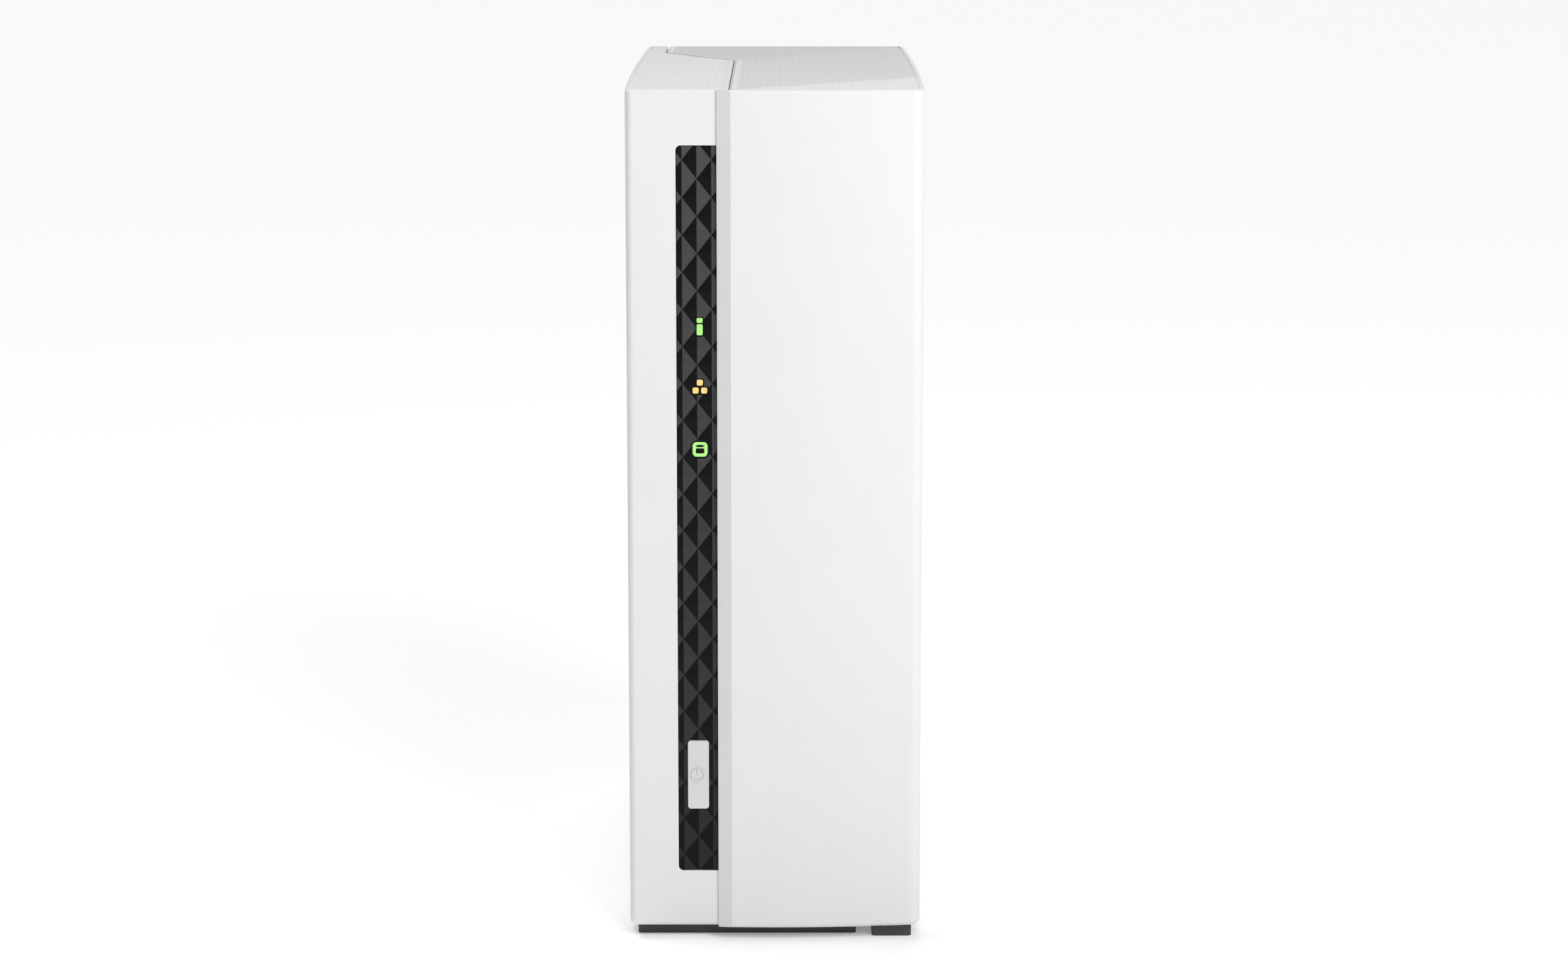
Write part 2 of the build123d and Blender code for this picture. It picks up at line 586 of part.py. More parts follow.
with BuildPart() as board_chips:
    on_board(10, 94, 13, 11, 1.1)
    on_board(44, 36, 7, 7, 0.9)
    on_board(42, 62, 6, 6, 0.9)
    on_board(38, 80, 5, 6, 0.9)
    on_board(-36, 26, 7, 7, 0.9)
pieces["board_chips"] = board_chips

with BuildPart() as power_inductors:
    on_board(24, 21, 7, 7, 4)
    on_board(34, 21, 7, 7, 4)
    on_board(30, 92, 6, 6, 4)
    fillet(power_inductors.edges().filter_by(Axis.X), 1.2)
pieces["power_inductors"] = power_inductors

with BuildPart() as board_capacitors:
    for y, z in [(23, 32), (32, 32), (48, 80), (48, 90)]:
        rod((BOARD_X, y, z), (BOARD_X + 9, y, z), 3.15)
    fillet(board_capacitors.faces().group_by(Axis.X)[-1].edges(), 0.4)
pieces["board_capacitors"] = board_capacitors

with BuildPart() as clock_cell_holder:
    rod((BOARD_X, -33, 84), (BOARD_X + 4, -33, 84), 11.4)
    rod((BOARD_X + 0.8, -33, 84), (BOARD_X + 5, -33, 84), 10.1, Mode.SUBTRACT)
    block((BOARD_X + 0.8, -25, 80), (BOARD_X + 5, -20, 88), Mode.SUBTRACT)
pieces["clock_cell_holder"] = clock_cell_holder

with BuildPart() as clock_cell:
    rod((BOARD_X + 0.85, -33, 84), (BOARD_X + 4.05, -33, 84), 10.0)
    chamfer(clock_cell.edges(), 0.3)
pieces["clock_cell"] = clock_cell

with BuildPart() as buzzer:
    rod((BOARD_X, -38, 56), (BOARD_X + 5.5, -38, 56), 4.6)
    rod((BOARD_X + 4, -38, 56), (BOARD_X + 6, -38, 56), 0.9, Mode.SUBTRACT)
pieces["buzzer"] = buzzer

# ---------------------------------------------------------------- sockets at the back

with BuildPart() as network_socket:
    block((BOARD_X, 54.5, NETWORK_SOCKET_Z - 8), (BOARD_X + 13.4, PANEL_Y1, NETWORK_SOCKET_Z + 8))
    block((BOARD_X + 2.4, PANEL_Y1 - 13, NETWORK_SOCKET_Z - 5.95),
          (BOARD_X + 10.4, PANEL_Y1 + 1, NETWORK_SOCKET_Z + 5.95), Mode.SUBTRACT)
    block((BOARD_X + 10.3, PANEL_Y1 - 9, NETWORK_SOCKET_Z - 3.2),
          (BOARD_X + 11.8, PANEL_Y1 + 1, NETWORK_SOCKET_Z + 3.2), Mode.SUBTRACT)
    for contact in range(8):
        contact_z = NETWORK_SOCKET_Z + (contact - 3.5) * 1.27
        block((BOARD_X + 2.3, PANEL_Y1 - 12, contact_z - 0.25),
              (BOARD_X + 2.9, PANEL_Y1 - 3, contact_z + 0.25))
pieces["network_socket"] = network_socket


def usb_shell(z):
    """An open metal shell of a USB socket, in the part being built."""
    block((BOARD_X, PANEL_Y1 - 16, z - 6.6), (BOARD_X + 5.9, PANEL_Y1, z + 6.6))
    block((BOARD_X + 0.35, PANEL_Y1 - 15, z - 6.25), (BOARD_X + 5.55, PANEL_Y1 + 1, z + 6.25), Mode.SUBTRACT)


def usb_tongue(z):
    """The plastic tongue inside a USB socket's shell."""
    with BuildPart() as tongue:
        block((BOARD_X + 0.4, PANEL_Y1 - 14.9, z - 6.2), (BOARD_X + 5.5, PANEL_Y1 - 11, z + 6.2))
        block((BOARD_X + 3.1, PANEL_Y1 - 11.5, z - 5.55), (BOARD_X + 4.9, PANEL_Y1 - 1.2, z + 5.55))
    return tongue


with BuildPart() as usb_socket_shells:
    usb_shell(USB_FAST_Z)
    usb_shell(USB_PLAIN_Z)
pieces["usb_socket_shells"] = usb_socket_shells
pieces["usb_tongue_fast"] = usb_tongue(USB_FAST_Z)
pieces["usb_tongue_plain"] = usb_tongue(USB_PLAIN_Z)

INLET_X = BOARD_X + 6.4
with BuildPart() as power_inlet:
    block((BOARD_X, PANEL_Y1 - 14, INLET_Z - 4.5), (BOARD_X + 11, PANEL_Y1, INLET_Z + 4.5))
    rod((INLET_X, PANEL_Y1 - 11, INLET_Z), (INLET_X, PANEL_Y1 + 1, INLET_Z), 3.2, Mode.SUBTRACT)
    rod((INLET_X, PANEL_Y1 - 13, INLET_Z), (INLET_X, PANEL_Y1 - 10, INLET_Z), 1.3, Mode.SUBTRACT)
pieces["power_inlet"] = power_inlet

with BuildPart() as power_inlet_pin:
    rod((INLET_X, PANEL_Y1 - 13, INLET_Z), (INLET_X, PANEL_Y1 - 1.2, INLET_Z), 1.22)
    fillet(power_inlet_pin.faces().sort_by(Axis.Y)[-1].edges(), 0.6)
pieces["power_inlet_pin"] = power_inlet_pin

with BuildPart() as reset_switch:
    block((BOARD_X, PANEL_Y0 - 7.5, RESET_Z - 3), (BOARD_X + 6, PANEL_Y0 - 4, RESET_Z + 3))
    rod((RESET_X, PANEL_Y0 - 6, RESET_Z), (RESET_X, PANEL_Y0 - 3, RESET_Z), 1.6, Mode.SUBTRACT)
pieces["reset_switch"] = reset_switch

with BuildPart() as reset_plunger:
    rod((RESET_X, PANEL_Y0 - 5.2, RESET_Z), (RESET_X, PANEL_Y0 - 1.5, RESET_Z), 1.5)
pieces["reset_plunger"] = reset_plunger

FLAT_CABLE_Z = 40.0
with BuildPart() as cable_headers:
    on_board(64, 99, 5, 10, 6)
    block((BOARD_X, -51, FLAT_CABLE_Z - 6), (BOARD_X + 2.6, -45, FLAT_CABLE_Z + 6))
    block((-22, FRONT_BOARD_Y + BOARD_THICK, FLAT_CABLE_Z - 6), (-16, FRONT_BOARD_Y + BOARD_THICK + 2.6,
          FLAT_CABLE_Z + 6))
pieces["cable_headers"] = cable_headers

# Flat cable from the front board's header to the main board's
with BuildPart() as front_cable:
    with BuildSketch(Plane.XY.offset(FLAT_CABLE_Z - 5)):
        with BuildLine():
            route = Polyline((-19, FRONT_BOARD_Y + BOARD_THICK + 2.8), (-19, -56), (-23.8, -53.5),
                             (-23.8, -51.2))
            offset(route, amount=0.15, side=Side.BOTH)
        make_face()
    extrude(amount=10)
pieces["front_cable"] = front_cable

# ---------------------------------------------------------------- riser board

with BuildPart() as riser_slot:
    block((BOARD_X, -14, RISER_Z - 2.1), (BOARD_X + 7.5, 14, RISER_Z + BOARD_THICK + 2.3))
    block((BOARD_X + 3.6, -12.6, RISER_Z - 0.1), (BOARD_X + 8, 12.6, RISER_Z + BOARD_THICK + 0.1),
          Mode.SUBTRACT)
pieces["riser_slot"] = riser_slot

with BuildPart() as riser_board:
    block((BOARD_X + 7.6, -44, RISER_Z), (13, 24, RISER_Z + BOARD_THICK))
    block((BOARD_X + 3.7, -12.4, RISER_Z), (BOARD_X + 8, 12.4, RISER_Z + BOARD_THICK))
    for x, y in RISER_POSTS:
        rod((x, y, RISER_Z - 1), (x, y, RISER_Z + 3), 1.6, Mode.SUBTRACT)
pieces["riser_board"] = riser_board

SOCKET_X = DRIVE_X0 + 4.2
with BuildPart() as drive_socket:
    block((SOCKET_X - 3, PLUG_Y - 20.5, RISER_Z + BOARD_THICK), (SOCKET_X + 3, PLUG_Y + 20.5, DRIVE_Z0 - 0.3))
    block((SOCKET_X - 1.7, PLUG_Y - 17, DRIVE_Z0 - 1), (SOCKET_X + 1.7, PLUG_Y + 17, DRIVE_Z0 + 4.5))
    block((SOCKET_X - 0.7, PLUG_Y - 16, DRIVE_Z0 - 2), (SOCKET_X + 0.7, PLUG_Y + 16, DRIVE_Z0 + 5),
          Mode.SUBTRACT)
pieces["drive_socket"] = drive_socket

board_seats = right_seats(BOARD_SCREWS, BOARD_X)
board_seats += back_seats(FRONT_BOARD_SCREWS, FRONT_BOARD_Y + BOARD_THICK)
board_seats += [Plane(origin=(x, y, RISER_Z + BOARD_THICK), z_dir=(0, 0, 1)) for x, y in RISER_POSTS]
pieces["board_screws"] = screws(board_seats, 2.6, 1.6, 1.25, 4.8)

# ---------------------------------------------------------------- drive and its bracket

with BuildPart() as drive_bracket:
    block((WEB_X0, DRIVE_Y0 - 0.3 - SHEET, 34), (WEB_X1, DRIVE_Y1 + 0.3 + SHEET, 162))
    for y0, y1 in [(DRIVE_Y0 - 0.3 - SHEET, DRIVE_Y0 - 0.3), (DRIVE_Y1 + 0.3, DRIVE_Y1 + 0.3 + SHEET)]:
        block((WEB_X0, y0, 34), (FLANGE_TOP_X, y1, 162))
    # Ears reach the four posts: low front, high front, top and back.
    ears = [(-63.8, -34, 25, 36), (-63.8, -34, 145, 155), (15, 25, 160, 181), (48, 57, 106.5, 116.5)]
    for y0, y1, z0, z1 in ears:
        block((WEB_X0, y0, z0), (WEB_X1, y1, z1))
    with BuildSketch(Plane.YZ.offset(WEB_X0 - 1)):
        with Locations((DRIVE_Y, 70), (DRIVE_Y, 130)):
            RectangleRounded(74, 46, 6)
    extrude(amount=4, mode=Mode.SUBTRACT)
    for y, z in POSTS:
        rod((WEB_X0 - 1, y, z), (WEB_X1 + 1, y, z), 1.7, Mode.SUBTRACT)
    for z in SIDE_HOLES_Z:
        rod((SIDE_HOLE_X, DRIVE_Y0 - 4, z), (SIDE_HOLE_X, DRIVE_Y1 + 4, z), 1.8, Mode.SUBTRACT)
pieces["drive_bracket"] = drive_bracket
pieces["bracket_screws"] = screws(right_seats(POSTS, WEB_X1), 2.6, 1.1, 1.25, 8)

drive_seats = back_seats([(SIDE_HOLE_X, z) for z in SIDE_HOLES_Z], DRIVE_Y1 + 0.3 + SHEET)
drive_seats += [
    Plane(origin=(SIDE_HOLE_X, DRIVE_Y0 - 0.3 - SHEET, z), z_dir=(0, -1, 0)) for z in SIDE_HOLES_Z
]
pieces["drive_screws"] = screws(drive_seats, 3.0, 1.5, 1.6, 4.6)

with BuildPart() as drive_base:
    block((DRIVE_X0, DRIVE_Y0, DRIVE_Z0), (LID_X, DRIVE_Y1, DRIVE_Z1))
    fillet(drive_base.edges().filter_by(Axis.X), 2.5)
    with BuildSketch(Plane.YZ.offset(WELL_X)):
        with Locations((DRIVE_Y, PLATTER_Z)):
            Circle(PLATTER_RADIUS + 1.3)
        with Locations((DRIVE_Y + 6, 62)):
            RectangleRounded(84, 60, 5)
    extrude(amount=30, mode=Mode.SUBTRACT)
    block((DRIVE_X0 - 1, DRIVE_Y0 + 5, DRIVE_Z0 + 10), (DRIVE_X0 + 2, DRIVE_Y1 - 5, 106), Mode.SUBTRACT)
    block((SOCKET_X - 3.2, PLUG_Y - 21.2, DRIVE_Z0 - 1), (SOCKET_X + 3.2, PLUG_Y + 21.2, DRIVE_Z0 + 9),
          Mode.SUBTRACT)
    for z in SIDE_HOLES_Z:
        rod((SIDE_HOLE_X, DRIVE_Y0 - 1, z), (SIDE_HOLE_X, DRIVE_Y0 + 3.9, z), 1.65, Mode.SUBTRACT)
        rod((SIDE_HOLE_X, DRIVE_Y1 - 3.9, z), (SIDE_HOLE_X, DRIVE_Y1 + 1, z), 1.65, Mode.SUBTRACT)
LID_SCREWS_Z = [DRIVE_Z0 + 4.5, (DRIVE_Z0 + DRIVE_Z1) / 2 - 10, DRIVE_Z1 - 4.5]
LID_SCREWS = [(y, z) for y in (DRIVE_Y0 + 4, DRIVE_Y1 - 4) for z in LID_SCREWS_Z]
with drive_base:
    for y, z in LID_SCREWS:
        rod((LID_X - 5, y, z), (LID_X + 1, y, z), 1.2, Mode.SUBTRACT)
pieces["drive_base"] = drive_base

with BuildPart() as drive_lid:
    block((LID_X, DRIVE_Y0 + 0.8, DRIVE_Z0 + 0.8), (DRIVE_X1, DRIVE_Y1 - 0.8, DRIVE_Z1 - 0.8))
    fillet(drive_lid.edges().filter_by(Axis.X), 3)
    with BuildSketch(Plane.YZ.offset(DRIVE_X1 - 0.35)):
        with Locations((DRIVE_Y, PLATTER_Z)):
            Circle(44)
            Circle(41.5, mode=Mode.SUBTRACT)
            Circle(13)
            Circle(11.5, mode=Mode.SUBTRACT)
        with Locations((DRIVE_Y, 45)):
            RectangleRounded(78, 34, 4)
            RectangleRounded(75, 31, 3, mode=Mode.SUBTRACT)
    extrude(amount=1, mode=Mode.SUBTRACT)
    for y, z in LID_SCREWS:
        rod((LID_X - 1, y, z), (DRIVE_X1 + 1, y, z), 1.3, Mode.SUBTRACT)
        rod((DRIVE_X1 - 0.5, y, z), (DRIVE_X1 + 1, y, z), 2.5, Mode.SUBTRACT)
pieces["drive_lid"] = drive_lid
pieces["drive_lid_screws"] = screws(right_seats(LID_SCREWS, DRIVE_X1 - 0.5), 2.2, 0.8, 1.1, 4.5)

with BuildPart() as drive_axle_posts:
    rod((WELL_X, DRIVE_Y, PLATTER_Z), (14, DRIVE_Y, PLATTER_Z), 2.0)
    rod((WELL_X, PIVOT_Y, PIVOT_Z), (17, PIVOT_Y, PIVOT_Z), 2.5)
pieces["drive_axle_posts"] = drive_axle_posts

with BuildPart() as drive_hub:
    rod((WELL_X + 0.6, DRIVE_Y, PLATTER_Z), (15.4, DRIVE_Y, PLATTER_Z), 12.4)
    rod((WELL_X + 0.6, DRIVE_Y, PLATTER_Z), (PLATTERS_X[0] - 0.05, DRIVE_Y, PLATTER_Z), 15.5)
    rod((PLATTERS_X[0] + 1.32, DRIVE_Y, PLATTER_Z), (PLATTERS_X[1] - 0.05, DRIVE_Y, PLATTER_Z), 15.5)
    rod((PLATTERS_X[1] + 1.32, DRIVE_Y, PLATTER_Z), (14.2, DRIVE_Y, PLATTER_Z), 15.5)
    rod((WELL_X, DRIVE_Y, PLATTER_Z), (14.2, DRIVE_Y, PLATTER_Z), 2.06, Mode.SUBTRACT)
pieces["drive_hub"] = drive_hub

with BuildPart() as drive_platters:
    for x in PLATTERS_X:
        rod((x, DRIVE_Y, PLATTER_Z), (x + PLATTER_THICK, DRIVE_Y, PLATTER_Z), PLATTER_RADIUS)
        rod((x, DRIVE_Y, PLATTER_Z), (x + PLATTER_THICK, DRIVE_Y, PLATTER_Z), 12.45, Mode.SUBTRACT)
pieces["drive_platters"] = drive_platters

# The arm is drawn pointing along the sketch's +X, on a plane turned to the parked direction.
arm_direction = Vector(0, 1, 0).rotate(Axis.X, ARM_ANGLE)
arm_plane = Plane(origin=(0, PIVOT_Y, PIVOT_Z), x_dir=arm_direction, z_dir=(1, 0, 0))
ARM_LEVELS = [4.9, 9.05, 13.2]
with BuildPart() as drive_arm:
    with BuildSketch(arm_plane.offset(4.6)):
        Circle(6.4)
    extrude(amount=10.2)
    for level in ARM_LEVELS:
        with BuildSketch(arm_plane.offset(level)):
            with BuildLine():
                Polyline((0, -5.8), (ARM_LENGTH, -1.2), (ARM_LENGTH, 1.2), (0, 5.8), close=True)
            make_face()
        extrude(amount=1.1)
    with BuildSketch(arm_plane.offset(8.6)):
        with BuildLine():
            Polyline((0, -5), (0, 5), (-10.4, 6), (-10.4, -6), close=True)
        make_face()
    extrude(amount=2.4)
    with BuildSketch(arm_plane.offset(4)):
        Circle(2.56)
    extrude(amount=12, mode=Mode.SUBTRACT)
pieces["drive_arm"] = drive_arm

with BuildPart() as drive_coil:
    with BuildSketch(arm_plane.offset(8.8)):
        with BuildLine():
            Polyline((-10.4, -6), (-10.4, 6), (-22, 9), (-22, -9), close=True)
        make_face()
        with BuildLine():
            Polyline((-13.4, -3), (-13.4, 3), (-19, 5), (-19, -5), close=True)
        make_face(mode=Mode.SUBTRACT)
    extrude(amount=2)
pieces["drive_coil"] = drive_coil

yoke_plane = Plane(origin=(0, PIVOT_Y, PIVOT_Z), x_dir=Vector(0, 1, 0).rotate(Axis.X, ARM_ANGLE - 197.4),
                   z_dir=(1, 0, 0))
with BuildPart() as drive_magnet_yoke:
    for level, thick in [(2.1, 5.2), (12.4, 4.5)]:
        with BuildSketch(yoke_plane.offset(level)):
            with Locations((17.2, 0)):
                Rectangle(15, 42)
            Circle(26, mode=Mode.INTERSECT)
            Circle(10.8, mode=Mode.SUBTRACT)
        extrude(amount=thick)
    with BuildSketch(yoke_plane.offset(7)):
        with Locations((13.6, 18.6), (13.6, -18.6)):
            Circle(1.6)
    extrude(amount=6)
pieces["drive_magnet_yoke"] = drive_magnet_yoke

with BuildPart() as drive_circuit_board:
    block((DRIVE_X0, DRIVE_Y0 + 6, DRIVE_Z0 + 11), (DRIVE_X0 + 1.2, DRIVE_Y1 - 6, 105))
    rod((DRIVE_X0 - 1, DRIVE_Y, PLATTER_Z), (DRIVE_X0 + 2, DRIVE_Y, PLATTER_Z), 19, Mode.SUBTRACT)
pieces["drive_circuit_board"] = drive_circuit_board

with BuildPart() as drive_plug:
    block((SOCKET_X - 3, PLUG_Y - 21, DRIVE_Z0), (SOCKET_X + 3, PLUG_Y + 21, DRIVE_Z0 + 8.9))
    block((SOCKET_X - 2, PLUG_Y - 18, DRIVE_Z0 - 1), (SOCKET_X + 2, PLUG_Y + 18, DRIVE_Z0 + 6), Mode.SUBTRACT)
    block((SOCKET_X - 0.55, PLUG_Y - 15.6, DRIVE_Z0 + 0.6), (SOCKET_X + 0.55, PLUG_Y + 15.6, DRIVE_Z0 + 6.5))
pieces["drive_plug"] = drive_plug

# ---------------------------------------------------------------- fan

fan_plane = Plane(origin=(FAN_X, FAN_Y0, FAN_Z), x_dir=(1, 0, 0), z_dir=(0, 1, 0))
with BuildPart() as fan_frame:
    with BuildSketch(fan_plane):
        RectangleRounded(FAN_SIZE, FAN_SIZE, 3.5)
        Circle(FAN_BORE, mode=Mode.SUBTRACT)
        with GridLocations(FAN_PITCH, FAN_PITCH, 2, 2):
            Circle(2.15, mode=Mode.SUBTRACT)
    extrude(amount=FAN_DEPTH)
    with BuildSketch(fan_plane.offset(FAN_DEPTH - 2.6)):
        Circle(12.5)
        with PolarLocations(0, 2, start_angle=45, angular_range=180):
            Rectangle(2 * FAN_BORE + 1.5, 2.4)
    extrude(amount=2.6)
    with BuildSketch(fan_plane.offset(FAN_DEPTH - 7)):
        Circle(3.6)
    extrude(amount=5)
    with BuildSketch(fan_plane.offset(FAN_DEPTH - 8)):
        Circle(1.3)
    extrude(amount=6.5, mode=Mode.SUBTRACT)
pieces["fan_frame"] = fan_frame

with BuildPart() as fan_rotor:
    with BuildSketch(fan_plane.offset(0.8)):
        Circle(12.5)
    extrude(amount=10.8)
    with BuildSketch(fan_plane.offset(2.6)):
        Circle(11)
    extrude(amount=10, mode=Mode.SUBTRACT)
    with BuildSketch(fan_plane.offset(2.4)):
        Circle(1.23)
    extrude(amount=10.2)
    for blade in range(7):
        spoke = Vector(1, 0, 0).rotate(Axis.Y, blade * 360 / 7)
        blade_root = Vector(FAN_X, FAN_Y0 + 6.3, FAN_Z) + spoke * 12
        blade_plane = Plane(origin=blade_root, x_dir=(0, 1, 0), z_dir=spoke)
        with BuildSketch(blade_plane):
            with BuildLine():
                outer = ThreePointArc((-4.6, -5.6), (0.9, -0.9), (4.6, 5.6))
                offset(outer, amount=0.5, side=Side.BOTH)
            make_face()
        extrude(amount=11.2)
pieces["fan_rotor"] = fan_rotor

fan_reach = (-FAN_PITCH / 2, FAN_PITCH / 2)
fan_holes = [(FAN_X + x, FAN_Z + z) for x in fan_reach for z in fan_reach]
pieces["fan_screws"] = screws(back_seats(fan_holes, PANEL_Y1), 3.4, 1.8, 2.0, 10)

# Fan lead: three straight runs joined by two arcs, from the frame's corner down to the header
with BuildPart() as fan_cable:
    with BuildLine():
        FilletPolyline((-19.5, 64, FAN_Z - FAN_SIZE / 2), (-19.5, 64, 111), (-21.8, 64, 108),
                       (-21.8, 64, 104), radius=2.5)
    with BuildSketch(Plane(origin=(-19.5, 64, FAN_Z - FAN_SIZE / 2), z_dir=(0, 0, -1))):
        Circle(1.1)
    sweep()
pieces["fan_cable"] = fan_cable

# ---------------------------------------------------------------- feet


def foot(ends, front):
    """A flat rubber foot under the floor, in the part being built."""
    block((ends[0], front, 0), (ends[1], front + FOOT_LENGTH, FLOOR_Z))


with BuildPart() as front_foot:
    foot(FRONT_FOOT_X, FRONT_FOOT_Y)
    fillet(front_foot.edges().filter_by(Axis.Z), FOOT_CORNER)
pieces["front_foot"] = front_foot

with BuildPart() as rear_foot:
    foot(REAR_FOOT_X, REAR_FOOT_Y)
    fillet(rear_foot.edges().filter_by(Axis.Z), FOOT_CORNER)
pieces["rear_foot"] = rear_foot

with BuildPart() as cover_feet:
    foot(COVER_FOOT_X, COVER_FOOT_Y)
    foot(COVER_FOOT_X, REAR_FOOT_Y)
    fillet(cover_feet.edges().filter_by(Axis.Z), FOOT_CORNER)
pieces["cover_feet"] = cover_feet

os.makedirs("parts", exist_ok=True)
for name, piece in pieces.items():
    piece.part.label = name
    export_step(piece.part, f"parts/{name}.step")
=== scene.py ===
"""Looks of a slim white network storage tower: finishes, strip, top relief, signs, light and camera."""

import math

import bmesh
import bpy
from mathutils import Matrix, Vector


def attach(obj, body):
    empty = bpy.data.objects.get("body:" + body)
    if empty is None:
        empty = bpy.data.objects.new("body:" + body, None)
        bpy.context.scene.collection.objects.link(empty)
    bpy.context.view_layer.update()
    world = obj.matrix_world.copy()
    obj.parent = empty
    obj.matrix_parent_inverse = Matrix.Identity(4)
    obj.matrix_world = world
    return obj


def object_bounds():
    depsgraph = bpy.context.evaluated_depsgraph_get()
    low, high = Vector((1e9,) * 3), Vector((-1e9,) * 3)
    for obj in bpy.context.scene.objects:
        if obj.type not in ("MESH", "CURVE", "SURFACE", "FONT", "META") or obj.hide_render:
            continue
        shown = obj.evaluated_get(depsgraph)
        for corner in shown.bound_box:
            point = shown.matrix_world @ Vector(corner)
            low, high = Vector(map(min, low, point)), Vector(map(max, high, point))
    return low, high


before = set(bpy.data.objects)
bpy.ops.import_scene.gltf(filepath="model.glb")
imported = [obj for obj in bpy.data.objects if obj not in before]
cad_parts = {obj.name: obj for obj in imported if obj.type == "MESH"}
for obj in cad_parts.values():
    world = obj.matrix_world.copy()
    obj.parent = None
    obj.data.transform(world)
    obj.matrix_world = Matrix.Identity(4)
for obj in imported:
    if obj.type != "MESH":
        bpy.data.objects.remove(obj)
cad_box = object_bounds()

MM = 0.001
LOW, HIGH = cad_box
TOP_Z = HIGH.z

# Top seam and its rims, the same sizes as in the CAD
SEAM_X = -10.0 * MM
SEAM_REAR_X = -27.3 * MM
SEAM_TURN_Y = LOW.y + 102.0 * MM
SEAM_END_Y = LOW.y + 131.0 * MM
SEAM_GAP = 0.2 * MM
SEAM_RIM = 1.9 * MM
RIM = 1.0 * MM
SIDE_BOW = 0.75 * MM
FIELD_DEPTH = 0.35 * MM
COVER_FIELD_RADIUS = 1.8 * MM
SHELL_FIELD_RADIUS = 0.8 * MM
REAR_FIELD_CUT = (0.5 * MM, 0.8 * MM)
FACE_SETBACK = 2.3 * MM
FRONT_RADIUS = 215.0 * MM
CLEAR = 0.03 * MM

# Relief: rhombs that stand on their long axis, each a low pyramid
TOP_RHOMB = (1.44 * MM, 1.9 * MM)
TOP_RISE = 0.17 * MM
TOP_LIFT = 0.16 * MM
TOP_CUT_LIFT = 0.005 * MM
SEAM_CLEAR = 0.15 * MM
SLAB_DEPTH = 0.8 * MM
RING_LIFT = 1e-9
# Lines that split the cover's top into zones of painted shade: the rear line's slope, the front line's slope
# and the front line's offset
REAR_SHADE_EDGE = 1.27
FRONT_SHADE_EDGE = 0.95
FRONT_SHADE_EDGE_Y = 4.5 * MM
STRIP_RHOMB = (3.2 * MM, 4.06 * MM)
STRIP_RISE = 0.22 * MM
STRIP_LIFT = 0.02 * MM
STRIP_CUT_DROP = 0.015 * MM
STRIP_RADIUS = 1.0 * MM
STRIP_FACE_Y = LOW.y + FACE_SETBACK + 0.45 * MM
STRIP_EDGE_X = -11.6 * MM
STRIP_LEFT_X = -21.3 * MM
STRIP_LATTICE_X = -16.9 * MM
STRIP_Z = (15.6 * MM, 176.6 * MM)
STRIP_LATTICE_Z = 165.43 * MM
ICON_X = -16.33 * MM
STATUS_Z = 137.3 * MM
NETWORK_Z = 124.15 * MM
DISK_Z = 110.3 * MM
BUTTON_X, BUTTON_Z, BUTTON_WIDTH, BUTTON_HEIGHT = -16.95 * MM, 37.4 * MM, 4.7 * MM, 15.5 * MM

# Windows in the strip's relief: x, z, width, height and corner radius
WINDOWS = [
    (ICON_X, STATUS_Z, 1.9 * MM, 4.4 * MM, 0.4 * MM),
    (ICON_X, NETWORK_Z + 0.87 * MM, 1.9 * MM, 1.9 * MM, 0.4 * MM),
    (ICON_X, NETWORK_Z - 0.87 * MM, 3.75 * MM, 1.9 * MM, 0.4 * MM),
    (ICON_X, DISK_Z, 3.9 * MM, 3.9 * MM, 1.1 * MM),
    (BUTTON_X, BUTTON_Z, BUTTON_WIDTH + 0.3 * MM, BUTTON_HEIGHT + 0.3 * MM, 0.85 * MM),
]

# Dark parts of the disk sign: an oval's place and half sizes, and a block like a window
DISK_OVAL = (ICON_X, DISK_Z + 0.75 * MM, 0.95 * MM, 0.25 * MM)
DISK_BLOCK = (ICON_X, DISK_Z - 0.32 * MM, 1.86 * MM, 1.11 * MM, 0.24 * MM)
INLAY_DEPTHS = (0.3 * MM, 0.02 * MM)

# Camera and light
LENS_MM = 88.9
CAMERA_AT = Vector((2.0 * MM, -909.5 * MM, 248.4 * MM))
CAMERA_TILT = math.radians(10.0)
FLOOR_REACH = 6.0
FLOOR_GLOW = 0.17
FLOOR_DROP = 0.05 * MM
KEY_PLACE = (0.32, -0.55, 0.55)
KEY_SIZE = (0.4, 0.4)
KEY_WATTS = 3.45
SUN_STRENGTH = 2.05
SUN_SPREAD = math.radians(50)
SUN_TURN = (math.radians(-20), math.radians(-16), 0)

# The world's strength: from, to, strength at from, strength at to
SIDEWAYS_GRADE = (-0.6, 0.6, 0.02, 0.42)
HORIZON_GRADE = (0.08, 0.16, 1.0, 0.0)


# ------------------------------------------------------------------ materials


def principled(name, colour, roughness, **sockets):
    """A new material's Principled shader, with plain values on its own sockets."""
    material = bpy.data.materials.new(name)
    material.use_nodes = True
    shader = material.node_tree.nodes["Principled BSDF"]
    shader.inputs["Base Color"].default_value = (*colour, 1)
    shader.inputs["Roughness"].default_value = roughness
    for socket, value in sockets.items():
        shader.inputs[socket.replace("_", " ")].default_value = value
    return material, shader


def node(material, kind, **settings):
    """A new shader node; settings that name an input set its value."""
    made = material.node_tree.nodes.new(kind)
    for key, value in settings.items():
        if key in made.inputs.keys():
            made.inputs[key].default_value = value
        else:
            setattr(made, key, value)
    return made


def link(material, source, target):
    material.node_tree.links.new(source, target)


def object_coords(material):
    return node(material, "ShaderNodeTexCoord").outputs["Object"]


def noise(material, size, detail=2.0):
    """Noise in the piece's own space with blobs about size metres across."""
    made = node(material, "ShaderNodeTexNoise", Scale=1 / size, Detail=detail)
    link(material, object_coords(material), made.inputs["Vector"])
    return made.outputs["Fac"]


